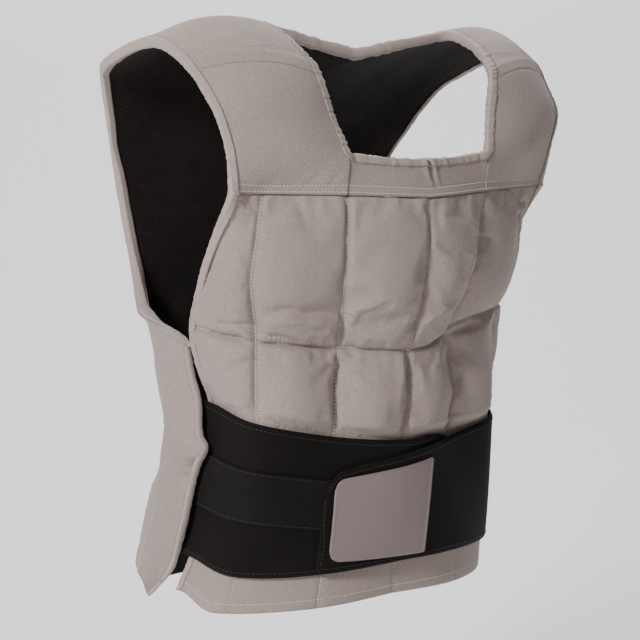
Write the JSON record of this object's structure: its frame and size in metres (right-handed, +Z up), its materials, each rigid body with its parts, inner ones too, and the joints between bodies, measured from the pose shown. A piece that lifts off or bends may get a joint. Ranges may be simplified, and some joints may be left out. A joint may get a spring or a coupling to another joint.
{
  "type": "weighted vest",
  "caption": "Weighted exercise vest with a quilted pocket front, wide padded straps, a lined back with side wings and a wrap-around belt.",
  "frame": {"origin": "level with the place where the straps rest on the shoulders, midway between the straps", "axes": "+Z up along the vest, -Y the way the wearer looks, -X the wearer's right"},
  "size_m": [0.466, 0.2991, 0.572],
  "materials": {
    "cloth": "matt taupe twill",
    "binding": "taupe woven tape",
    "lining": "black mesh and plain lining",
    "belt": "black neoprene faced with loop cloth",
    "elastic": "black ribbed elastic",
    "patch": "satin moulded taupe rubber"
  },
  "bodies": {
    "root": {"front_panel": "cloth", "chest_yoke": "cloth", "shoulder_strap_left": "cloth", "shoulder_strap_right": "cloth", "back_panel": "cloth", "back_lining": "lining", "belt_right": "belt", "belt_left": "belt", "belt_elastic": "elastic", "belt_patch": "patch", "armhole_binding_left": "binding", "armhole_binding_right": "binding", "neckline_binding": "binding"}
  },
  "joints": []
}
